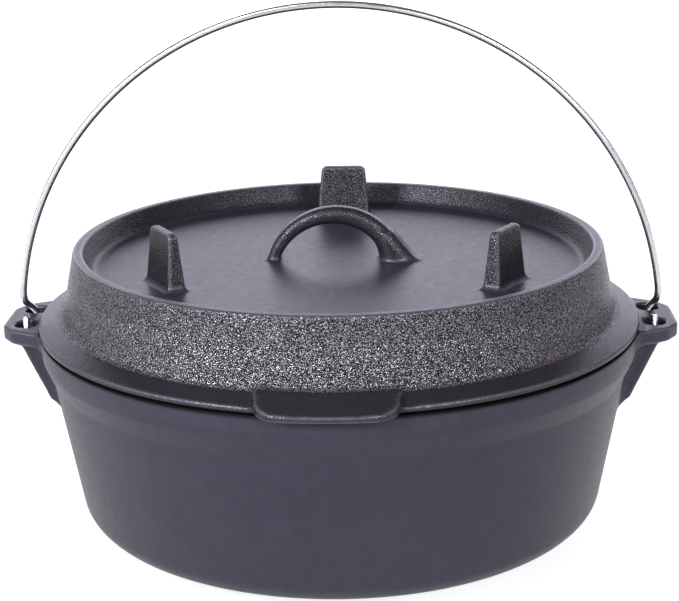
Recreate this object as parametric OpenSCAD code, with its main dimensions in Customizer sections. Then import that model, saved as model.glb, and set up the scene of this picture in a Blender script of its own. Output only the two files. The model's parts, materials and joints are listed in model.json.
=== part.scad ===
// Camp dutch oven: a flat-based cast iron pot with two pierced ears, a flanged lid that has
// a loop handle and three legs, and a bent wire bail hooked through the ears.
// +Z is up, the ears lie on the X axis, and the origin is the centre of the pot's base.
// All sizes are in millimetres.

/* [Pot] */
// Outer radius of the rim
rim_r = 148.4; // [147.8:0.1:150]
// Height of the rim above the base
pot_h = 97.5; // [90:0.5:120]
// Thickness of the side wall
wall_t = 5; // [4:0.5:6]
// Thickness of the floor
floor_t = 5; // [4:0.5:8]
// Outer radius of the rounded corner at the base
base_corner_r = 13; // [8:0.1:16]
// Outward lean of the side wall, in mm per mm of height
wall_lean = 0.1775; // [0.15:0.0025:0.185]
// Height of the upright band around the rim
rim_band_h = 12; // [8:0.5:14]

/* [Ears] */
// Distance from the pot's axis to the end of each ear
ear_tip_x = 167.4; // [166:0.1:175]
// Thickness of the ear plate
ear_t = 7.2; // [5:0.1:9]
// Width of the ear where it leaves the rim
ear_root_w = 60; // [54:1:70]
// Width of the gusset under the ear
gusset_w = 46; // [40:1:50]
// Width of the bar left between the two holes of an ear
ear_bar_w = 13.3; // [10:0.1:14]
// Length of each hole along X
hole_l = 11; // [9:0.5:12]
// Width of each hole along Y
hole_w = 11.7; // [9:0.1:12]

/* [Lid] */
// Outer radius of the flange that rests on the rim
flange_r = 149; // [148:0.1:151]
// Outer radius of the raised crest
crest_r = 130.4; // [128:0.1:131]
// Height of the crest above the seat on the rim
crest_h = 38.4; // [34:0.1:42]
// Depth of the coal tray inside the crest
tray_depth = 10.2; // [6:0.1:14]
// Thickness of the tray's plate
plate_t = 5; // [4:0.5:6]
// Width of the lifting tab at the front
tab_w = 62; // [40:1:70]
// Distance from the lid's axis to the edge of the tab
tab_r = 158; // [156:0.5:164]

/* [Lid legs] */
// Distance from the lid's axis to each leg
leg_ring_r = 92.3; // [80:0.1:96]
// Height of the leg tips above the seat
leg_top_h = 55.5; // [50:0.1:60]
// Width of a leg at its tip
leg_tip_w = 24; // [20:0.5:26]
// Width of a leg at its foot
leg_foot_w = 29; // [27:0.5:32]

/* [Lid handle] */
// Height of the top of the handle above the seat
handle_top_h = 55.2; // [50:0.1:55.5]
// Radius of the outside of the loop
handle_outer_r = 35.6; // [34:0.1:38]
// Radius of the inside of the loop
handle_inner_r = 28; // [26:0.1:31]
// Depth of the handle along Y
handle_depth = 11; // [8:0.5:14]

/* [Bail] */
// Radius of the bail's arch, to the middle of the wire
bail_r = 160.3; // [159:0.1:162]
// Diameter of the wire
wire_d = 3.5; // [3:0.1:4]
// Distance from the pot's axis to the plane of each eye
eye_x = 156; // [155.5:0.1:156.5]
// Radius of each eye, to the middle of the wire
eye_r = 13.2; // [12.8:0.1:13.5]

/* [Hidden] */
$fn = 96;

// Shapes that join or cut each other are carried on by this much past the meeting.
past = 1;
// Size of the small bevels on cast edges.
edge = 1.2;

// The wall's outer line is extended down to the base plane at this radius.
wall_foot_r = 130;
cavity_corner_r = 9;
// Below the rim band the wall widens to it in a straight slope.
rim_slope_h = 10;
rim_slope_z = pot_h - rim_band_h - rim_slope_h;

ear_top = pot_h - 1.2;
ear_root_x = 148;
ear_sunk = 4;
ear_inner_r = 136;
ear_side_angle = 25;
ear_corner_r = 9;
hole_x = 155.9;
hole_corner_r = 4.5;
gusset_foot_z = 57;
gusset_foot_x = 143.5;
gusset_foot_h = 2.5;
gusset_foot_run = 4;
gusset_sunk = 6;
gusset_top_x = 157;

hinge_z = pot_h - 6.5;

seat_z = pot_h;
crest_z = seat_z + crest_h;
tray_z = crest_z - tray_depth;
crest_w = 4.6;
tray_wall_run = 5;
// Where the steep side of the lid would meet the flange, and the bevel in that corner.
root_r = 136.8;
root_z = seat_z + 7.2;
root_bevel_h = 2.4;
root_bevel_run = 2.2;
flange_edge_z = seat_z + 2.7;
flange_draft = 0.3;
side_slope = (root_r - crest_r) / (crest_z - root_z);
flange_slope = (root_z - flange_edge_z) / (flange_r - flange_draft - root_r);
// The locating ring under the lid drops into the pot's mouth.
ring_r = 139.3;
ring_t = 5.3;
ring_h = 3.5;
// The hollow under the lid, with a bevelled corner below the tray wall.
hollow_z = tray_z - plate_t;
hollow_top_r = crest_r - 8;
hollow_side_r = crest_r - 2;
hollow_bevel_h = 3.5;

// The tab is a tongue that starts inside the lid's wall and falls towards its edge.
tab_root_r = 135;
tab_edge_z = seat_z + 3;
tab_slope = 0.225;
tab_corner_r = 12;
tab_l = 40;

leg_tip_t = 4.4;
leg_foot_t = 10;
leg_corner = 2;

handle_cz = seat_z + handle_top_h - handle_outer_r;
handle_cx = -0.5;
handle_reach = 50;
// The loop's opening is lower and further left than its outside, so the bar thins leftwards.
loop_drop = 1;
loop_shift = 2.2;
broad_foot_in = 21;
broad_foot_out = 42.5;
broad_foot_top_x = 26;
broad_foot_top_h = 41.5;

arch_end_a = 7.5;
knee_r = 30;
bend_r = 6;
bend_a = 55;
eye_sweep = 200;
tip_l = 4.3;
wire_sides = 32;
seam = 0.01;
seam_l = 0.2;

iron = [0.16, 0.155, 0.18];
steel = [0.75, 0.75, 0.77];

function wall_r(z) = wall_foot_r + wall_lean * z;
function unit_len() = sqrt(1 + pow(wall_lean, 2));
// Centre of a corner circle of radius r that touches the floor line z0 and a wall moved in by t.
function corner_x(r, z0, t) = wall_r(z0 + r) - (t + r) * unit_len();

// Section of a bowl that stands on z0, with its wall moved in by t, up to z1.
module bowl_section(r, z0, t, z1) {
    cx = corner_x(r, z0, t);
    polygon([
        [0, z0], [cx, z0],
        [cx + r / unit_len(), z0 + r - r * wall_lean / unit_len()],
        [wall_r(z1) - t * unit_len(), z1], [0, z1]
    ]);
    translate([cx, z0 + r]) circle(r = r);
}

module pot_outer_section() {
    bowl_section(base_corner_r, 0, 0, pot_h);
    polygon([
        [wall_r(rim_slope_z), rim_slope_z], [rim_r, pot_h - rim_band_h], [rim_r, pot_h - edge],
        [rim_r - edge, pot_h], [wall_r(rim_slope_z) - past, pot_h],
        [wall_r(rim_slope_z) - past, rim_slope_z]
    ]);
}

module cavity_section() {
    bowl_section(cavity_corner_r, floor_t, wall_t, pot_h + past);
}

module ear_outline() {
    cx = ear_tip_x - ear_corner_r;
    cy = ear_root_w / 2
        - ((cx - ear_root_x) * sin(ear_side_angle) + ear_corner_r) / cos(ear_side_angle);
    tx = cx + ear_corner_r * sin(ear_side_angle);
    ty = cy + ear_corner_r * cos(ear_side_angle);
    polygon([
        [ear_root_x - ear_sunk, -ear_root_w / 2], [ear_root_x, -ear_root_w / 2],
        [tx, -ty], [ear_tip_x, -cy], [ear_tip_x, cy], [tx, ty],
        [ear_root_x, ear_root_w / 2], [ear_root_x - ear_sunk, ear_root_w / 2]
    ]);
    for (s = [-1, 1]) translate([cx, s * cy]) circle(r = ear_corner_r);
}

module rounded_slot(l, w, r) {
    square([l - 2 * r, w], center = true);
    square([l, w - 2 * r], center = true);
    for (x = [-1, 1], y = [-1, 1])
        translate([x * (l / 2 - r), y * (w / 2 - r)]) circle(r = r);
}

module gusset() {
    plate_z = ear_top - ear_t;
    inner_x = gusset_foot_x - gusset_sunk;
    rotate([90, 0, 0]) linear_extrude(height = gusset_w, center = true) polygon([
        [inner_x, gusset_foot_z - edge], [gusset_foot_x - gusset_foot_run, gusset_foot_z],
        [gusset_foot_x, gusset_foot_z + gusset_foot_h], [gusset_top_x, plate_z - edge],
        [gusset_top_x + edge, plate_z + past], [inner_x, plate_z + past]
    ]);
}

// One ear on the +X side: plate and gusset.
module ear() {
    translate([0, 0, ear_top - ear_t]) linear_extrude(height = ear_t) ear_outline();
    gusset();
}

module ear_holes() {
    for (s = [-1, 1])
        translate([hole_x, s * (ear_bar_w + hole_w) / 2, gusset_foot_z - past])
            linear_extrude(height = pot_h) rounded_slot(hole_l, hole_w, hole_corner_r);
}

module both_sides() {
    children();
    mirror([1, 0, 0]) children();
}

module pot() {
    color(iron) difference() {
        union() {
            rotate_extrude() difference() {
                pot_outer_section();
                cavity_section();
            }
            both_sides() difference() {
                ear();
                cylinder(r = ear_inner_r, h = pot_h);
            }
        }
        // The ears are rooted in the wall, so the cavity is cleared again.
        rotate_extrude() cavity_section();
        both_sides() ear_holes();
    }
}

module lid_section() {
    difference() {
        union() {
            polygon([
                [0, seat_z], [flange_r - edge, seat_z], [flange_r, seat_z + edge],
                [flange_r - flange_draft, flange_edge_z],
                [root_r + root_bevel_run, root_z - root_bevel_run * flange_slope],
                [root_r - root_bevel_h * side_slope, root_z + root_bevel_h],
                [crest_r, crest_z - edge], [crest_r - edge, crest_z], [0, crest_z]
            ]);
            translate([ring_r - ring_t, seat_z - ring_h]) square([ring_t, ring_h]);
        }
        polygon([
            [0, tray_z], [crest_r - crest_w - tray_wall_run, tray_z],
            [crest_r - crest_w, crest_z], [crest_r - crest_w, crest_z + past],
            [0, crest_z + past]
        ]);
        polygon([
            [0, hollow_z], [hollow_top_r, hollow_z],
            [hollow_side_r, hollow_z - hollow_bevel_h],
            [ring_r - ring_t - edge, root_z + past],
            [ring_r - ring_t, seat_z - ring_h - past], [0, seat_z - ring_h - past]
        ]);
    }
}

module lid_tab() {
    intersection() {
        rotate([90, 0, 90]) linear_extrude(height = tab_w, center = true) polygon([
            [tab_l - tab_r, seat_z], [-tab_r, seat_z], [-tab_r, tab_edge_z],
            [tab_l - tab_r, tab_edge_z + tab_l * tab_slope]
        ]);
        difference() {
            cylinder(r = tab_r, h = crest_z);
            cylinder(r = tab_root_r, h = crest_z + past);
        }
        linear_extrude(height = crest_z) translate([0, tab_l / 2 - tab_r])
            rounded_slot(tab_w, tab_l, tab_corner_r);
    }
}

// A leg is a slab that tapers both ways; it stands on the tray with its broad faces radial.
module lid_leg() {
    leg_z = seat_z + leg_top_h;
    sunk = tray_z - past;
    translate([leg_ring_r, 0, 0]) intersection() {
        rotate([90, 0, 0]) linear_extrude(height = leg_foot_w + past, center = true) polygon([
            [-leg_foot_t / 2, sunk], [leg_foot_t / 2, sunk],
            [leg_tip_t / 2, leg_z], [-leg_tip_t / 2, leg_z]
        ]);
        rotate([90, 0, 90]) linear_extrude(height = leg_foot_t + past, center = true) polygon([
            [-leg_foot_w / 2, sunk], [leg_foot_w / 2, sunk],
            [leg_tip_w / 2, leg_z - leg_corner], [leg_tip_w / 2 - leg_corner, leg_z],
            [leg_corner - leg_tip_w / 2, leg_z], [-leg_tip_w / 2, leg_z - leg_corner]
        ]);
    }
}

// The loop is slim on the -X side and ends in a broad foot on the +X side.
module handle_outline() {
    sunk = tray_z - past;
    difference() {
        union() {
            intersection() {
                translate([handle_cx, handle_cz]) circle(r = handle_outer_r);
                translate([-handle_reach, sunk]) square([2 * handle_reach, handle_reach]);
            }
            polygon([
                [broad_foot_in, sunk], [broad_foot_out, sunk],
                [broad_foot_top_x, seat_z + broad_foot_top_h],
                [broad_foot_in, seat_z + broad_foot_top_h]
            ]);
        }
        intersection() {
            translate([handle_cx - loop_shift, handle_cz - loop_drop]) circle(r = handle_inner_r);
            translate([-handle_reach, sunk - past])
                square([handle_reach + broad_foot_in, handle_reach]);
        }
    }
}

module lid_handle() {
    rotate([90, 0, 0]) linear_extrude(height = handle_depth, center = true) handle_outline();
}

module lid() {
    color(iron) {
        rotate_extrude() lid_section();
        lid_tab();
        lid_handle();
        for (a = [90, 210, 330]) rotate([0, 0, a]) lid_leg();
    }
}

// A piece of wire bent to radius r through angle a, starting on the local X axis. At each
// angle in seams a thin collar closes the seam with the next stretch.
module bent_wire(r, a, seams) {
    rotate_extrude(angle = a) translate([r, 0]) circle(d = wire_d, $fn = wire_sides);
    for (s = seams) rotate([0, 0, s]) translate([r, 0, 0]) rotate([90, 0, 0])
        cylinder(d = wire_d + 2 * seam, h = seam_l, center = true, $fn = wire_sides);
}

module straight_wire(l) {
    cylinder(d = wire_d, h = l, $fn = wire_sides);
}

// The end of the bail on the +X side: knee, double bend into the rear hole, and open eye.
module bail_end() {
    knee_x = (bail_r - knee_r) * cos(arch_end_a);
    knee_z = hinge_z + (bail_r - knee_r) * sin(arch_end_a);
    leg_x = knee_x + knee_r;
    side = norm([eye_x - leg_x, eye_r]);
    slant_l = (side - 2 * bend_r * (1 - cos(bend_a))) / sin(bend_a);
    mid_x = bend_r * (1 - cos(bend_a));
    mid_z = -bend_r * sin(bend_a);
    low_z = 2 * mid_z - slant_l * cos(bend_a);

    translate([knee_x, 0, knee_z]) rotate([90, 0, 0]) bent_wire(knee_r, arch_end_a, [0, arch_end_a]);
    translate([leg_x, 0, knee_z]) rotate([0, 0, atan2(eye_r, eye_x - leg_x)]) {
        translate([bend_r, 0, 0]) rotate([90, 0, 0]) rotate([0, 0, 180])
            bent_wire(bend_r, bend_a, [bend_a]);
        translate([mid_x, 0, mid_z]) rotate([0, 180 - bend_a, 0]) straight_wire(slant_l);
        translate([side - bend_r, 0, low_z]) rotate([90, 0, 0])
            bent_wire(bend_r, bend_a, [0, bend_a]);
    }
    translate([eye_x, eye_r, hinge_z]) straight_wire(knee_z + low_z - hinge_z);
    translate([eye_x, 0, hinge_z]) rotate([90, 0, 90]) rotate([0, 0, -eye_sweep]) {
        bent_wire(eye_r, eye_sweep, [0, eye_sweep]);
        translate([eye_r, 0, 0]) rotate([90, 0, 0]) straight_wire(tip_l);
    }
}

module bail() {
    color(steel) {
        translate([0, 0, hinge_z]) rotate([90, 0, 0]) rotate([0, 0, arch_end_a])
            bent_wire(bail_r, 180 - 2 * arch_end_a, []);
        both_sides() bail_end();
    }
}

pot();
lid();
bail();
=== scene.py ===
"""Looks of a cast iron camp dutch oven: pot, flanged lid and wire bail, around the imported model.

The two castings are built as distance fields, so that every edge is rounded and every meeting
of two shapes has its casting fillet, and are meshed on a grid of rings, spokes and levels.
Lengths in the modelling functions are in millimetres; meshes are stored in metres.
"""

import json
import math

import bpy
import numpy as np
from mathutils import Matrix, Vector


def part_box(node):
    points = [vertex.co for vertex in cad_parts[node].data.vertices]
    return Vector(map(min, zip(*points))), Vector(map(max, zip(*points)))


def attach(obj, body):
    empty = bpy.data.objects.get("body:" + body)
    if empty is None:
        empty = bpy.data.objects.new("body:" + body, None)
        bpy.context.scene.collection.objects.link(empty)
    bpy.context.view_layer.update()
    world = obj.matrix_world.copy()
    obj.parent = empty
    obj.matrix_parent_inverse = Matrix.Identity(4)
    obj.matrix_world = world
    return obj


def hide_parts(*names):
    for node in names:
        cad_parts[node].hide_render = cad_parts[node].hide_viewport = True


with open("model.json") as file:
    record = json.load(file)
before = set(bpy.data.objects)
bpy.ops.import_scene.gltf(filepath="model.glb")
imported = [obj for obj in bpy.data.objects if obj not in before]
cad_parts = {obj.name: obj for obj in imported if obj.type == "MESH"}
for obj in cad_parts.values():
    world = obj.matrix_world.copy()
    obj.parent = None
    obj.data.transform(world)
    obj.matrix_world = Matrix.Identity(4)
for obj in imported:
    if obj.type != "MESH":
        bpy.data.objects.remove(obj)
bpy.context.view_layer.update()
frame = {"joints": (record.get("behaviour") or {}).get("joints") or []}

MM = 0.001
LONGEST_MOVE = 0.8
ARC_STEP = math.radians(11)


def box_mm(node):
    """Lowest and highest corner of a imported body's box."""
    low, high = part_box(node)
    return np.array(low) / MM, np.array(high) / MM


# --- Sizes, in millimetres -------------------------------------------------------------------
POT_HIGH = box_mm("pot")[1]
LID_LOW, LID_HIGH = box_mm("lid")
BAIL_HIGH = box_mm("bail")[1]
HINGE_Z = next(j for j in frame["joints"] if j["name"] == "bail_swing")["pos_m"][2] / MM

RIM_R = POT_HIGH[1]
POT_H = POT_HIGH[2]
EAR_TIP_X = POT_HIGH[0]
WALL_FOOT_R = 130
WALL_LEAN = 0.1775
WALL_T = 5
FLOOR_T = 5
BASE_CORNER_R = 13
RIM_BAND_Z = POT_H - 12
RIM_SLOPE_Z = RIM_BAND_Z - 10

EAR_TOP = POT_H - 1.2
EAR_T = 7.2
EAR_ROOT_X = 148
EAR_ROOT_HALF = 30
EAR_EDGE_R = 1.3
GUSSET_HALF = 23
GUSSET_FOOT_Z = 56.5
GUSSET_ROOT_X = 137
HOLE_X = 155.9
HOLE_Y = 12.5
HOLE_HALF = (5.5, 5.85)

FLANGE_R = LID_HIGH[0]
CREST_R = 130.4
CREST_Z = POT_H + 38.4
CREST_W = 4.6
TRAY_Z = CREST_Z - 10.2
TRAY_R = CREST_R - CREST_W - 5
PLATE_T = 5
ROOT_R = 136.8
ROOT_Z = POT_H + 7.2
RING_R = 139.3
RING_H = 3.5
TAB_R = -LID_LOW[1]
TAB_HALF = 31
TAB_EDGE_Z = POT_H + 3
TAB_SLOPE = 0.225

LEG_RING_R = 92.3
LEG_TOP = LID_HIGH[2]
LEG_TIP_HALF_W = 11.7
LEG_TIP_HALF_T = 2.15
LEG_TAPER_W = 0.095
LEG_TAPER_T = 0.085
LEG_ANGLES = (90, 210, 330)

LOOP_TOP = POT_H + 55.2
LOOP_OUTER_R = 35.6
LOOP_INNER_R = 28
LOOP_X = -0.5
LOOP_SHIFT_X = 2.2
LOOP_DROP = 1
LOOP_HALF_DEPTH = 5.2
FOOT_IN_X = 21
FOOT_TOP_Z = POT_H + 41

WIRE_R = 1.75
ARCH_R = BAIL_HIGH[2] - HINGE_Z - WIRE_R
EYE_X = 156
EYE_R = 13.2
EYE_SWEEP = math.radians(200)
EYE_TAIL = 4.3
ARCH_END = math.radians(7.5)
KNEE_R = 30
BEND_R = 6
BEND = math.radians(55)


# --- Distance fields -------------------------------------------------------------------------
def fillet(a, b, r):
    """Union of two solids, with a concave fillet of radius r where they meet."""
    near = np.hypot(np.maximum(r - a, 0), np.maximum(r - b, 0))
    return np.maximum(r, np.minimum(a, b)) - near


def common(a, b, r):
    """Intersection of two solids, with the edges between them rounded to radius r."""
    near = np.hypot(np.maximum(r + a, 0), np.maximum(r + b, 0))
    return np.minimum(-r, np.maximum(a, b)) + near


def smooth(low, high, value):
    """0 below low and 1 above high, with a smooth step between."""
    t = np.clip((value - low) / (high - low), 0, 1)
    return t * t * (3 - 2 * t)


def outline(corners):
    """Points of a closed outline through (x, y, radius) corners, each rounded by an arc."""
    points = []
    for i, (x, y, radius) in enumerate(corners):
        corner = np.array([x, y], float)
        if radius == 0:
            points.append(corner)
            continue
        back = np.array(corners[i - 1][:2]) - corner
        ahead = np.array(corners[(i + 1) % len(corners)][:2]) - corner
        back /= np.linalg.norm(back)
        ahead /= np.linalg.norm(ahead)
        half = 0.5 * math.acos(np.clip(back @ ahead, -1, 1))
        middle = (back + ahead) / np.linalg.norm(back + ahead)
        centre = corner + middle * radius / math.sin(half)
        start = corner + back * radius / math.tan(half) - centre
        first = math.atan2(start[1], start[0])
        turn = math.pi - 2 * half
        if back[0] * ahead[1] - back[1] * ahead[0] > 0:
            turn = -turn
        steps = max(2, math.ceil(abs(turn) / ARC_STEP))
        for angle in first + turn * np.linspace(0, 1, steps + 1):
            points.append(centre + radius * np.array([math.cos(angle), math.sin(angle)]))
    return np.array(points)


def outline_distance(points, x, y):
    """Signed distance from (x, y) to a closed outline, negative inside."""
    nearest = None
    inside = None
    for a, b in zip(points, np.roll(points, -1, axis=0)):
        edge = b - a
        ax = x - a[0]
        ay = y - a[1]
        t = np.clip((ax * edge[0] + ay * edge[1]) / (edge @ edge), 0, 1)
        gap = (ax - edge[0] * t) ** 2 + (ay - edge[1] * t) ** 2
        crosses = (a[1] > y) != (b[1] > y)
        if edge[1] != 0:
            crosses = crosses & (ax < edge[0] * ay / edge[1])
        nearest = gap if nearest is None else np.minimum(nearest, gap)
        inside = crosses if inside is None else inside ^ crosses
    return np.sqrt(nearest) * np.where(inside, -1, 1)


def wall_r(z):
    """Radius of the pot's outer wall at a height."""
    return WALL_FOOT_R + WALL_LEAN * z


def inner_r(z):
    """Radius of the pot's inner wall at a height."""
    return wall_r(z) - WALL_T * math.hypot(1, WALL_LEAN)


BOWL = outline([
    (0, 0, 0), (wall_r(0), 0, BASE_CORNER_R), (wall_r(RIM_SLOPE_Z), RIM_SLOPE_Z, 9),
    (RIM_R - 0.5, RIM_BAND_Z, 3), (RIM_R, RIM_BAND_Z + 4, 1), (RIM_R, POT_H, 1.8),
    (inner_r(POT_H), POT_H, 1.4), (inner_r(FLOOR_T), FLOOR_T, 9), (0, FLOOR_T, 0),
])
CAVITY = outline([
    (0, FLOOR_T, 0), (inner_r(FLOOR_T), FLOOR_T, 9), (inner_r(POT_H + 9), POT_H + 9, 0),
    (0, POT_H + 9, 0),
])
EAR = outline([
    (EAR_ROOT_X - 4, -EAR_ROOT_HALF - 1, 0), (EAR_ROOT_X + 1, -EAR_ROOT_HALF, 6),
    (EAR_TIP_X - 6, -EAR_ROOT_HALF + 6.6, 8), (EAR_TIP_X, -EAR_ROOT_HALF + 15.5, 9),
    (EAR_TIP_X, EAR_ROOT_HALF - 15.5, 9), (EAR_TIP_X - 6, EAR_ROOT_HALF - 6.6, 8),
    (EAR_ROOT_X + 1, EAR_ROOT_HALF, 6), (EAR_ROOT_X - 4, EAR_ROOT_HALF + 1, 0),
])
GUSSET = outline([
    (GUSSET_ROOT_X, GUSSET_FOOT_Z, 0), (140, 57.2, 2), (144, 60, 3),
    (157, EAR_TOP - EAR_T - 0.8, 3), (158, EAR_TOP - EAR_T + 2, 0),
    (GUSSET_ROOT_X, EAR_TOP - EAR_T + 2, 0),
])
LID = outline([
    (0, TRAY_Z - PLATE_T, 0), (CREST_R - 4, TRAY_Z - PLATE_T, 7),
    (RING_R - 6.2, POT_H + 6, 10), (RING_R - 5.3, POT_H - RING_H, 1.2),
    (RING_R, POT_H - RING_H, 1.2), (RING_R, POT_H, 1), (FLANGE_R, POT_H, 1.2),
    (FLANGE_R - 0.3, POT_H + 2.8, 1.2), (ROOT_R, ROOT_Z, 4),
    (CREST_R, CREST_Z, 1.6), (CREST_R - CREST_W, CREST_Z, 1.2),
    (TRAY_R, TRAY_Z, 4), (0, TRAY_Z, 0),
])


def pot_field(x, y, z):
    """The pot: bowl, ears and gussets, with the wire holes through them."""
    r = np.hypot(x, y)
    side = np.abs(x)
    thickness = np.abs(z - EAR_TOP + EAR_T / 2) - EAR_T / 2
    plate = common(outline_distance(EAR, side, y), thickness, EAR_EDGE_R)
    gusset = common(outline_distance(GUSSET, side, z), np.abs(y) - GUSSET_HALF, 1.5)
    ear = fillet(plate, gusset, 2.5)
    solid = fillet(outline_distance(BOWL, r, z), ear, 4)
    solid = common(solid, -outline_distance(CAVITY, r, z), 1.4)
    solid = common(solid, z - POT_H, 1)
    hole = common(
        np.abs(side - HOLE_X) - HOLE_HALF[0],
        np.abs(np.abs(y) - HOLE_Y) - HOLE_HALF[1],
        4.5,
    )
    return common(solid, -hole, 1)


def lid_leg(x, y, z):
    """Distance to the nearest of the three legs, which taper both ways to a flat tip."""
    nearest = None
    for angle in np.radians(LEG_ANGLES):
        radial = x * math.cos(angle) + y * math.sin(angle) - LEG_RING_R
        across = y * math.cos(angle) - x * math.sin(angle)
        down = LEG_TOP - z
        ends = common(np.abs(across) - LEG_TIP_HALF_W - LEG_TAPER_W * down, -down, 2.8)
        slab = common(np.abs(radial) - LEG_TIP_HALF_T - LEG_TAPER_T * down, ends, 1.3)
        nearest = slab if nearest is None else np.minimum(nearest, slab)
    return nearest


def lid_handle(x, y, z):
    """The loop handle: a round bar that thins to the left and ends in a broad foot on the right."""
    loop_z = LOOP_TOP - LOOP_OUTER_R
    outer = np.hypot(x - LOOP_X, z - loop_z) - LOOP_OUTER_R
    inner = LOOP_INNER_R - np.hypot(x - LOOP_X + LOOP_SHIFT_X, z - loop_z + LOOP_DROP)
    bar_half = np.clip(-(outer + inner) / 2, 2.5, LOOP_HALF_DEPTH)
    depth_half = LOOP_HALF_DEPTH - 0.9 * smooth(-12, -32, x) + 2.2 * smooth(8, 30, x)
    edge_r = 0.93 * bar_half
    bar = common(np.maximum(outer, inner), np.abs(y) - depth_half, edge_r)
    slope = (x - 26) * 0.7 + (z - POT_H - 42) * 0.714
    foot = common(common(FOOT_IN_X - x, slope, 2), np.abs(y) - depth_half, 4.5)
    foot = np.maximum(foot, z - FOOT_TOP_Z)
    return np.maximum(fillet(bar, foot, 4), TRAY_Z - 2 - z)


def lid_tab(x, y, z):
    """The lifting tab: a rounded tongue that slopes out past the flange at the front."""
    r = np.hypot(x, y)
    top = z - TAB_EDGE_Z + (-y - TAB_R) * TAB_SLOPE
    plan = common(np.abs(x) - TAB_HALF + 0.06 * (-y - 145), r - TAB_R, 10)
    tongue = common(plan, common(top, POT_H - z, 1.1), 1.1)
    return np.maximum(np.maximum(tongue, ROOT_R - 1.8 - r), y)


def lid_field(x, y, z):
    """The lid: turned body, tab, legs and handle, with the hollow left clear below."""
    body = outline_distance(LID, np.hypot(x, y), z)
    solid = fillet(body, lid_tab(x, y, z), 1.6)
    solid = fillet(solid, lid_leg(x, y, z), 3)
    return fillet(solid, lid_handle(x, y, z), 2)


# --- Meshing ---------------------------------------------------------------------------------
def steps(*stretches):
    """Grid positions through (end, spacing) stretches, starting from the first number."""
    at = [float(stretches[0])]
    for end, spacing in stretches[1:]:
        count = max(1, round((end - at[-1]) / spacing))
        at += list(np.linspace(at[-1], end, count + 1)[1:])
    return np.array(at)


def spokes(fine, coarse_deg):
    """Angles once round, in degrees, with (centre, half width, spacing) stretches kept fine."""
    stops = []
    for centre, half, spacing in sorted(fine):
        stops.append((centre - half, coarse_deg))
        stops.append((centre + half, spacing))
    first = stops[0][0]
    angles = steps(first, *stops[1:], (first + 360, coarse_deg))
    return np.radians(angles[:-1])


def net_points(values, cells, levels):
    """For each crossed cell, the mean of the points where its edges cross the surface."""
    total = np.zeros((len(cells), 3))
    count = np.zeros(len(cells))
    corners = [(a, b, c) for a in (0, 1) for b in (0, 1) for c in (0, 1)]
    rings, spoke_count, _ = values.shape
    for start in corners:
        for axis in range(3):
            if start[axis]:
                continue
            end = tuple(1 if n == axis else start[n] for n in range(3))
            ends = []
            for corner in (start, end):
                i, j, k = (cells + corner).T
                place = np.stack([levels[0][i], levels[1][j], levels[2][k]], axis=1)
                ends.append((values[i, j % spoke_count, k], place))
            (v0, p0), (v1, p1) = ends
            crossed = (v0 < 0) != (v1 < 0)
            share = np.where(crossed, v0 / np.where(crossed, v0 - v1, 1), 0)[:, None]
            total += np.where(crossed[:, None], p0 + share * (p1 - p0), 0)
            count += crossed
    return total / count[:, None]


def net_faces(inside, index):
    """Quads round every grid edge that crosses the surface, and one polygon on the axis."""
    faces = []
    spoke_count = inside.shape[1]

    def quads(start, end, around):
        """Adds a quad, turned outwards, for each crossed edge between start and end."""
        crossed = start != end
        corners = np.stack([a[crossed] for a in around], axis=1)
        flip = end[crossed]
        corners[flip] = corners[flip][:, ::-1]
        faces.extend(corners.tolist())

    before = np.roll(index, 1, axis=1)
    quads(inside[:-1, :, 1:-1], inside[1:, :, 1:-1], [
        before[:, :, :-1], index[:, :, :-1], index[:, :, 1:], before[:, :, 1:]])
    turned = np.roll(inside, -1, axis=1)
    quads(inside[1:-1, :, 1:-1], turned[1:-1, :, 1:-1], [
        index[:-1, :, :-1], index[:-1, :, 1:], index[1:, :, 1:], index[1:, :, :-1]])
    quads(inside[1:-1, :, :-1], inside[1:-1, :, 1:], [
        before[:-1], before[1:], index[1:], index[:-1]])
    for k in np.flatnonzero(inside[0, 0, :-1] != inside[0, 0, 1:]):
        fan = index[0, range(spoke_count), k].tolist()
        faces.append(fan if inside[0, 0, k] else fan[::-1])
    return faces


def slopes(field, points, step=0.02):
    """Value and gradient of a field at points."""
    x, y, z = points.T
    value = field(x, y, z)
    gradient = np.stack([
        field(x + step, y, z) - value, field(x, y + step, z) - value, field(x, y, z + step) - value,
    ], axis=1) / step
    return value, gradient


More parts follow.
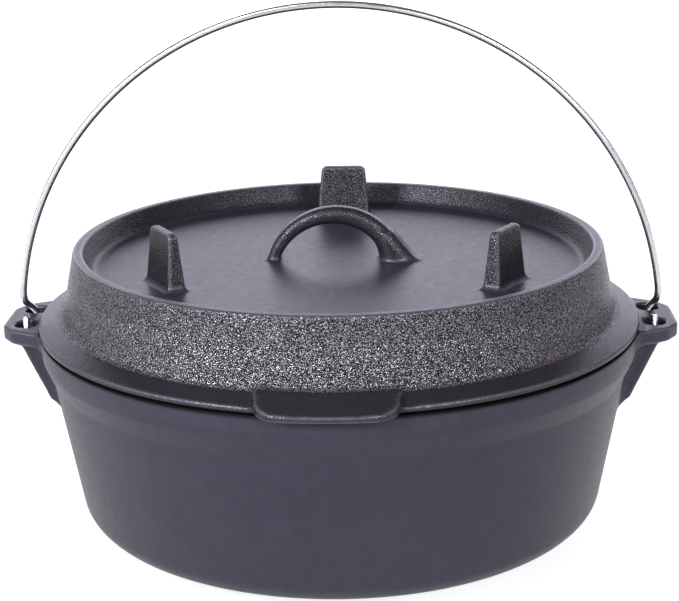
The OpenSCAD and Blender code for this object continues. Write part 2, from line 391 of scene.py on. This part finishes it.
def casting(name, field, rings, angles, heights):
    """Meshes the zero surface of a field on a cylindrical grid; returns the object."""
    r, a, z = np.meshgrid(rings, angles, heights, indexing="ij", sparse=True)
    values = np.broadcast_to(
        field(r * np.cos(a), r * np.sin(a), z), (len(rings), len(angles), len(heights)))
    inside = values < 0
    ahead = np.roll(inside, -1, axis=1)
    layers = [c[i:len(rings) - 1 + i, :, k:len(heights) - 1 + k].astype(np.int8)
              for c in (inside, ahead) for i in (0, 1) for k in (0, 1)]
    filled = sum(layers)
    crossed = (filled > 0) & (filled < 8)
    cells = np.argwhere(crossed)
    index = np.full(crossed.shape, -1)
    index[crossed] = np.arange(len(cells))

    polar = net_points(values, cells, (rings, np.append(angles, angles[0] + 2 * np.pi), heights))
    points = np.stack([
        polar[:, 0] * np.cos(polar[:, 1]), polar[:, 0] * np.sin(polar[:, 1]), polar[:, 2]], axis=1)
    for _ in range(3):
        value, gradient = slopes(field, points)
        size = np.maximum((gradient ** 2).sum(axis=1), 0.25)
        move = -gradient * (value / size)[:, None]
        reach = np.maximum(np.linalg.norm(move, axis=1), 1e-9)
        points += move * np.minimum(1, LONGEST_MOVE / reach)[:, None]
    normals = slopes(field, points)[1]
    normals /= np.linalg.norm(normals, axis=1)[:, None]

    mesh = bpy.data.meshes.new(name)
    mesh.from_pydata((points * MM).tolist(), [], net_faces(inside, index))
    mesh.shade_smooth()
    mesh.normals_split_custom_set_from_vertices(normals.tolist())
    add_layer(mesh, "wear", edge_wear(mesh, points, normals))
    piece = bpy.data.objects.new(name, mesh)
    bpy.context.scene.collection.objects.link(piece)
    return piece, points, normals


def add_layer(mesh, name, values):
    """Stores one number per point, for a material to read."""
    layer = mesh.attributes.new(name, "FLOAT", "POINT")
    layer.data.foreach_set("value", np.asarray(values, np.float32))


def edge_wear(mesh, points, normals):
    """0 on flat and hollow places and up to 1 on tight convex edges, where handling rubs."""
    edges = np.empty(len(mesh.edges) * 2, int)
    mesh.edges.foreach_get("vertices", edges)
    a, b = edges.reshape(-1, 2).T
    gap = points[b] - points[a]
    length = np.maximum((gap ** 2).sum(axis=1), 1e-9)
    bend = np.zeros(len(points))
    count = np.zeros(len(points))
    for here, way in ((a, gap), (b, -gap)):
        np.add.at(bend, here, -2 * (way * normals[here]).sum(axis=1) / length)
        np.add.at(count, here, 1)
    return smooth(0.1, 0.45, bend / np.maximum(count, 1))


# --- Materials -------------------------------------------------------------------------------
class Nodes:
    """A short way to write one node tree."""

    def __init__(self, name):
        self.material = bpy.data.materials.new(name)
        self.material.use_nodes = True
        self.tree = self.material.node_tree
        self.shader = self.tree.nodes["Principled BSDF"]

    def add(self, kind, links=(), **values):
        node = self.tree.nodes.new(kind)
        for key, value in values.items():
            if hasattr(node, key):
                setattr(node, key, value)
            else:
                node.inputs[key].default_value = value
        for socket, source in dict(links).items():
            self.link(source, node.inputs[socket])
        return node

    def link(self, source, target):
        self.tree.links.new(source, target)

    def noise(self, vector, scale, detail=2.0, rough=0.5):
        node = self.add("ShaderNodeTexNoise", {"Vector": vector})
        node.inputs["Scale"].default_value = scale
        node.inputs["Detail"].default_value = detail
        node.inputs["Roughness"].default_value = rough
        return node.outputs["Fac"]

    def ramp(self, source, low, high, out_low=0.0, out_high=1.0):
        node = self.add("ShaderNodeMapRange", {"Value": source})
        node.inputs["From Min"].default_value = low
        node.inputs["From Max"].default_value = high
        node.inputs["To Min"].default_value = out_low
        node.inputs["To Max"].default_value = out_high
        return node.outputs["Result"]

    def math(self, operation, a, b):
        node = self.add("ShaderNodeMath", operation=operation)
        for socket, value in zip(node.inputs, (a, b)):
            if isinstance(value, (int, float)):
                socket.default_value = value
            else:
                self.link(value, socket)
        return node.outputs["Value"]

    def mix(self, share, a, b):
        node = self.add("ShaderNodeMix", data_type="RGBA")
        for socket, value in ((node.inputs[0], share), (node.inputs[6], a), (node.inputs[7], b)):
            if isinstance(value, (int, float)):
                socket.default_value = value
            elif isinstance(value, tuple):
                socket.default_value = (*value, 1)
            else:
                self.link(value, socket)
        return node.outputs[2]

    def bump(self, height, strength, distance, normal=None):
        node = self.add("ShaderNodeBump", {"Height": height})
        if isinstance(strength, (int, float)):
            node.inputs["Strength"].default_value = strength
        else:
            self.link(strength, node.inputs["Strength"])
        node.inputs["Distance"].default_value = distance
        if normal is not None:
            self.link(normal, node.inputs["Normal"])
        return node.outputs["Normal"]


def cast_iron():
    """Seasoned cast iron: satin black skin with a violet cast over a sandy, glinting grain, and
    painted shade in the gap where the lid sits on the pot.
    """
    dark = (0.009, 0.0085, 0.015)
    light = (0.013, 0.012, 0.02)
    bloom = (0.019, 0.018, 0.028)
    sooty = (0.008, 0.0075, 0.009)
    rusty = (0.032, 0.019, 0.014)
    rubbed = (0.070, 0.068, 0.080)
    black = (0.002, 0.002, 0.002)
    glint = (0.15, 0.146, 0.16)
    n = Nodes("cast_iron")
    place = n.add("ShaderNodeTexCoord").outputs["Object"]
    grain = n.add("ShaderNodeAttribute", attribute_name="grain").outputs["Fac"]
    wear = n.add("ShaderNodeAttribute", attribute_name="wear").outputs["Fac"]
    gap_shade = n.add("ShaderNodeAttribute", attribute_name="gap_shade").outputs["Fac"]

    wave = n.bump(n.noise(place, 55, 2, 0.5), 0.07, 0.0012)
    sand = n.noise(place, 1700, 0, 0.5)
    pebble = n.add("ShaderNodeTexVoronoi", {"Vector": place}, feature="SMOOTH_F1")
    pebble.inputs["Scale"].default_value = 1200
    relief = n.math("ADD", sand, n.math("MULTIPLY", pebble.outputs["Distance"], -0.6))
    n.link(n.bump(relief, n.ramp(grain, 0.2, 1, 0.02, 1), 0.00045, wave), n.shader.inputs["Normal"])

    cloud = n.noise(place, 22, 4, 0.55)
    mottle = n.noise(place, 160, 4, 0.6)
    brown = n.ramp(n.noise(place, 38, 3, 0.6), 0.6, 0.74, 0, 0.5)
    skin = n.mix(n.ramp(cloud, 0.3, 0.7), dark, light)
    skin = n.mix(n.ramp(mottle, 0.35, 0.75, 0, 0.45), skin, bloom)
    skin = n.mix(n.ramp(grain, 0.25, 0.6), skin, sooty)
    skin = n.mix(n.math("MULTIPLY", brown, grain), skin, rusty)
    skin = n.mix(n.math("MULTIPLY", wear, 0.5), skin, rubbed)
    # Painted shade: along the gap between the pot's rim and the lid's flange the skin is darkened
    # to near black.
    skin = n.mix(gap_shade, skin, black)
    peaks = n.math("MULTIPLY", n.ramp(grain, 0.6, 1), n.ramp(sand, 0.48, 0.66))
    n.link(n.mix(peaks, skin, glint), n.shader.inputs["Base Color"])
    n.link(n.math("MULTIPLY", peaks, 0.7), n.shader.inputs["Metallic"])

    pits = n.math("MULTIPLY", n.ramp(grain, 0.3, 0.7), n.ramp(sand, 0.4, 0.58, 1, 0))
    # Reflections are taken out in the sand's pits, and along the lid-pot gap as painted shade.
    dull = n.math("MAXIMUM", n.math("MULTIPLY", pits, 0.9), gap_shade)
    n.link(n.ramp(dull, 0, 1, 0.5, 0), n.shader.inputs["Specular IOR Level"])
    gloss = n.ramp(n.noise(place, 300, 3, 0.6), 0.3, 0.7, -0.03, 0.04)
    satin = n.math("ADD", n.ramp(grain, 0, 1, 0.46, 0.24), gloss)
    n.link(n.math("SUBTRACT", satin, n.math("MULTIPLY", wear, 0.08)), n.shader.inputs["Roughness"])
    n.shader.inputs["IOR"].default_value = 1.45
    n.shader.inputs["Specular Tint"].default_value = (0.86, 0.84, 1, 1)
    return n.material


def wire_steel():
    """Drawn and plated steel wire: bright, with faint lengthwise lines and a dull bloom."""
    n = Nodes("steel_wire")
    place = n.add("ShaderNodeTexCoord").outputs["UV"]
    lines = n.add("ShaderNodeMapping", {"Vector": place}, Scale=(40, 6, 1))
    drawn = n.noise(lines.outputs["Vector"], 4, 3, 0.6)
    bloom = n.noise(n.add("ShaderNodeTexCoord").outputs["Object"], 90, 3, 0.6)
    n.link(n.mix(n.ramp(bloom, 0.35, 0.7), (0.70, 0.70, 0.72), (0.56, 0.56, 0.58)),
           n.shader.inputs["Base Color"])
    n.link(n.math("ADD", n.ramp(bloom, 0.3, 0.7, 0.16, 0.26), n.ramp(drawn, 0.3, 0.7, 0, 0.08)),
           n.shader.inputs["Roughness"])
    n.link(n.bump(drawn, 0.12, 0.0001), n.shader.inputs["Normal"])
    n.shader.inputs["Metallic"].default_value = 1
    return n.material


def studio_floor():
    """A white floor that is lit from within, as a light table is, so that it stays white."""
    n = Nodes("studio_floor")
    n.shader.inputs["Base Color"].default_value = (0.9, 0.9, 0.9, 1)
    n.shader.inputs["Roughness"].default_value = 0.8
    n.shader.inputs["Emission Color"].default_value = (1, 1, 1, 1)
    n.shader.inputs["Emission Strength"].default_value = 0.85
    return n.material


# --- Pieces ----------------------------------------------------------------------------------
def make_pot(material):
    """The pot casting, a little grainier inside than outside, with painted shade along the outer
    edge of its rim where the lid sits.
    """
    rings = steps(0, (2, 1), (112, 2.75), (140, 1.7), (156, 0.85), (EAR_TIP_X + 2, 1.1))
    heights = steps(-1.3, (14, 1.2), (55, 2.6), (83, 1.6), (POT_H - 3, 1), (POT_H + 1.4, 0.6))
    angles = spokes([(0, 13, 0.45), (180, 13, 0.45)], 1.6)
    pot, points, normals = casting("pot_casting", pot_field, rings, angles, heights)
    r = np.hypot(points[:, 0], points[:, 1])
    cavity = smooth(2, -2, r - inner_r(points[:, 2]) + 1) * smooth(2, 6, points[:, 2])
    add_layer(pot.data, "grain", 0.16 + 0.25 * cavity)
    # Painted shade: a band on the rim's top outer edge, where the lid sits on it, is stored for the
    # material to paint near black.
    gap_shade_band = smooth(POT_H - 3, POT_H - 1.2, points[:, 2]) * smooth(RIM_R - 4, RIM_R - 2, r)
    add_layer(pot.data, "gap_shade", gap_shade_band * smooth(RIM_R + 1.6, RIM_R + 0.4, r))
    finish_casting(pot, material, "pot")


def make_lid(material):
    """The lid casting, with the sand grain strongest on its side and weakest in the tray."""
    rings = steps(0, (0.8, 0.8), (46, 1.25), (84, 2.4), (101, 0.95), (114, 2), (FLANGE_R + 1.6, 1),
                  (TAB_R + 1.5, 1.2))
    heights = steps(POT_H - RING_H - 1.2, (POT_H + 7, 0.75), (TRAY_Z - 2, 1.4), (TRAY_Z + 3, 0.8),
                    (CREST_Z - 2, 1.3), (CREST_Z + 1, 0.6), (LEG_TOP - 4, 1.4), (LEG_TOP + 1, 0.6))
    angles = spokes([(a, 13, 0.85) for a in LEG_ANGLES] + [(270, 12.5, 0.9)], 2)
    lid, points, normals = casting("lid_casting", lid_field, rings, angles, heights)
    x, y, z = points.T
    r = np.hypot(x, y)
    steep = smooth(0.95, 0.75, normals[:, 2])
    side = smooth(CREST_R - 3, CREST_R - 1, r) * smooth(POT_H + 3, POT_H + 12, z) * steep
    crest_wall = smooth(TRAY_R - 2, TRAY_R + 1, r) * smooth(CREST_R, CREST_R - 3, r) * steep
    raised = smooth(TRAY_Z + 1, TRAY_Z + 4, z) * smooth(TRAY_R, TRAY_R - 3, r)
    handle = raised * smooth(54, 50, r)
    flange = smooth(ROOT_R - 3, ROOT_R - 1, r)
    crease = smooth(4, 1, np.abs(r - ROOT_R)) * smooth(ROOT_Z + 4, ROOT_Z + 1, z)
    below = smooth(TRAY_Z - 2, TRAY_Z - 4, z) * smooth(RING_R, RING_R - 2, r)
    grain = (0.2 + 0.3 * crease + 0.65 * side + 0.4 * crest_wall + 0.45 * raised - 0.1 * handle
             + 0.3 * flange + 0.3 * below)
    add_layer(lid.data, "grain", np.clip(grain, 0, 1))
    # Painted shade: a band on the flange's lower outer edge, just above where it meets the rim, is
    # stored for the material to paint near black.
    gap_shade_band = smooth(POT_H + 1.6, POT_H + 0.4, z) * smooth(FLANGE_R - 4, FLANGE_R - 2, r)
    add_layer(lid.data, "gap_shade", gap_shade_band * smooth(FLANGE_R + 4, FLANGE_R + 1, r))
    finish_casting(lid, material, "lid")


def finish_casting(piece, material, body):
    """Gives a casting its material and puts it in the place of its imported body."""
    piece.data.materials.append(material)
    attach(piece, body)
    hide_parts(body)


def arc_points(centre, start, normal, angle, count):
    """Points of an arc that turns the start point about an axis through centre."""
    turns = [Matrix.Rotation(angle * i / count, 3, normal) for i in range(1, count + 1)]
    return [centre + turn @ (start - centre) for turn in turns]


def bail_side():
    """Centre line of half of the bail: from the top of the arch to the tip of the +X eye."""
    hinge = Vector((0, 0, HINGE_Z))
    y_axis = Vector((0, 1, 0))
    path = [hinge + Vector((0, 0, ARCH_R))]
    path += arc_points(hinge, path[-1], y_axis, math.pi / 2 - ARCH_END, 60)
    knee = hinge + Vector((math.cos(ARCH_END), 0, math.sin(ARCH_END))) * (ARCH_R - KNEE_R)
    path += arc_points(knee, path[-1], y_axis, ARCH_END, 5)

    leg = path[-1]
    across = Vector((EYE_X - leg.x, EYE_R, 0))
    side = across.normalized()
    slant = (across.length - 2 * BEND_R * (1 - math.cos(BEND))) / math.sin(BEND)
    turn_axis = side.cross(Vector((0, 0, -1)))
    path += arc_points(leg + side * BEND_R, leg, -turn_axis, BEND, 9)
    way = side * math.sin(BEND) - Vector((0, 0, math.cos(BEND)))
    slant_steps = 6
    for _ in range(slant_steps):
        path.append(path[-1] + way * slant / slant_steps)
    away = -side * math.cos(BEND) - Vector((0, 0, math.sin(BEND)))
    path += arc_points(path[-1] + away * BEND_R, path[-1], turn_axis, BEND, 9)

    eye = Vector((EYE_X, 0, HINGE_Z))
    path.append(eye + Vector((0, EYE_R, 0)))
    path += arc_points(eye, path[-1], Vector((-1, 0, 0)), EYE_SWEEP, 50)
    tip_way = (path[-1] - path[-2]).normalized()
    tail_steps = 4
    for _ in range(tail_steps):
        path.append(path[-1] + tip_way * EYE_TAIL / tail_steps)
    return path


def tube(name, path, radius, sides=20):
    """A round wire along a path, with slightly chamfered cut ends and UVs in turns and metres."""
    points = np.array([tuple(p) for p in path])
    ways = np.gradient(points, axis=0)
    ways /= np.linalg.norm(ways, axis=1)[:, None]
    chamfer = 0.35
    points = np.vstack([points[0], points, points[-1]])
    points[1] += ways[0] * chamfer
    points[-2] -= ways[-1] * chamfer
    ways = np.vstack([ways[0], ways, ways[-1]])
    radii = np.full(len(points), radius)
    radii[[0, -1]] -= chamfer
    along = np.concatenate([[0], np.cumsum(np.linalg.norm(np.diff(points, axis=0), axis=1))])

    up = np.cross(ways[0], [0, 1, 0])
    vertices = []
    coords = []
    for point, way, reach, length in zip(points, ways, radii, along):
        up = up - way * (up @ way)
        up /= np.linalg.norm(up)
        other = np.cross(way, up)
        for s in range(sides):
            angle = 2 * math.pi * s / sides
            vertices.append(point + reach * (up * math.cos(angle) + other * math.sin(angle)))
            coords.append((s / sides, length * MM))
    faces = [list(range(sides))[::-1]]
    for ring in range(len(points) - 1):
        for s in range(sides):
            here = ring * sides + s
            after = ring * sides + (s + 1) % sides
            faces.append([here, after, after + sides, here + sides])
    last = (len(points) - 1) * sides
    faces.append([last + s for s in range(sides)])

    mesh = bpy.data.meshes.new(name)
    mesh.from_pydata((np.array(vertices) * MM).tolist(), [], faces)
    mesh.shade_smooth()
    layer = mesh.uv_layers.new(name="wire")
    for loop in mesh.loops:
        layer.data[loop.index].uv = coords[loop.vertex_index]
    piece = bpy.data.objects.new(name, mesh)
    bpy.context.scene.collection.objects.link(piece)
    return piece


def make_bail(material):
    """The whole bail: half of its centre line, mirrored and swept with the wire."""
    half = bail_side()
    other = [Vector((-p.x, p.y, p.z)) for p in half[:0:-1]]
    bail = tube("bail_wire", other + half, WIRE_R)
    bail.data.materials.append(material)
    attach(bail, "bail")
    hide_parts("bail")


# --- Studio ----------------------------------------------------------------------------------
def camera():
    """The view: 88 cm away, looking down 16.7 degrees, turned 2.2 degrees from the front."""
    turn = math.radians(2.2)
    place = (0.0011, -0.8054, 0.34475)
    yaw = 0.0009
    pitch = 0.2906
    roll = -0.0164
    data = bpy.data.cameras.new("view")
    data.lens = 88.74
    data.sensor_width = 36
    data.clip_end = 50
    view = bpy.data.objects.new("view", data)
    pose = Matrix.Rotation(turn, 4, "Z") @ Matrix.Translation(place)
    pose = pose @ Matrix.Rotation(yaw, 4, "Z") @ Matrix.Rotation(math.pi / 2 - pitch, 4, "X")
    view.matrix_world = pose @ Matrix.Rotation(roll, 4, "Z")
    bpy.context.scene.collection.objects.link(view)
    bpy.context.scene.camera = view


def softbox(name, at, aim, size, power, tint=(1, 1, 1)):
    """A rectangular lamp of a size in metres and a power in watts, turned to a point."""
    data = bpy.data.lights.new(name, "AREA")
    data.shape = "RECTANGLE"
    data.size, data.size_y = size
    data.energy = power
    data.color = tint
    lamp = bpy.data.objects.new(name, data)
    lamp.location = at
    lamp.rotation_euler = (Vector(aim) - Vector(at)).to_track_quat("-Z", "Y").to_euler()
    bpy.context.scene.collection.objects.link(lamp)
    return lamp


def lay_floor():
    """A large white floor at the height of the pot's base."""
    half = 6
    corners = [(-half, -half, 0), (half, -half, 0), (half, half, 0), (-half, half, 0)]
    mesh = bpy.data.meshes.new("floor")
    mesh.from_pydata(corners, [], [(0, 1, 2, 3)])
    floor = bpy.data.objects.new("floor", mesh)
    mesh.materials.append(studio_floor())
    bpy.context.scene.collection.objects.link(floor)
    return floor


def dim_world():
    """A faint even light from all round, and plain colours without a film curve."""
    world = bpy.data.worlds.new("studio")
    world.use_nodes = True
    sky = world.node_tree.nodes["Background"]
    sky.inputs["Color"].default_value = (0.93, 0.95, 1, 1)
    sky.inputs["Strength"].default_value = 0.13
    bpy.context.scene.world = world
    bpy.context.scene.view_settings.view_transform = "Standard"


def studio():
    """White floor, a broad light behind, a strip on each side and three keys in front."""
    floor = lay_floor()
    dim_world()

    middle = (0, 0, 0.1)
    violet = (0.88, 0.86, 1)
    softbox("back_box", (0, 3, 0.95), middle, (4.5, 1.3), 55, violet)
    softbox("left_strip", (-1.6, -0.3, 0.6), middle, (0.5, 1.2), 7.5, violet)
    softbox("right_strip", (1.6, -0.2, 0.6), middle, (0.5, 1.2), 4, violet)
    keys = [
        softbox("left_key", (-0.9, -1.15, 0.75), middle, (0.4, 0.35), 46),
        softbox("right_key", (0.7, -1.28, 0.75), middle, (0.45, 0.35), 27),
        softbox("high_key", (-0.6, -0.8, 1.5), middle, (0.6, 0.3), 7),
    ]
    unlit = bpy.data.collections.new("unlit_by_keys")
    unlit.objects.link(floor)
    for key in keys:
        key.light_linking.receiver_collection = unlit
    unlit.collection_objects[0].light_linking.link_state = "EXCLUDE"


camera()
studio()
iron = cast_iron()
make_pot(iron)
make_lid(iron)
make_bail(wire_steel())
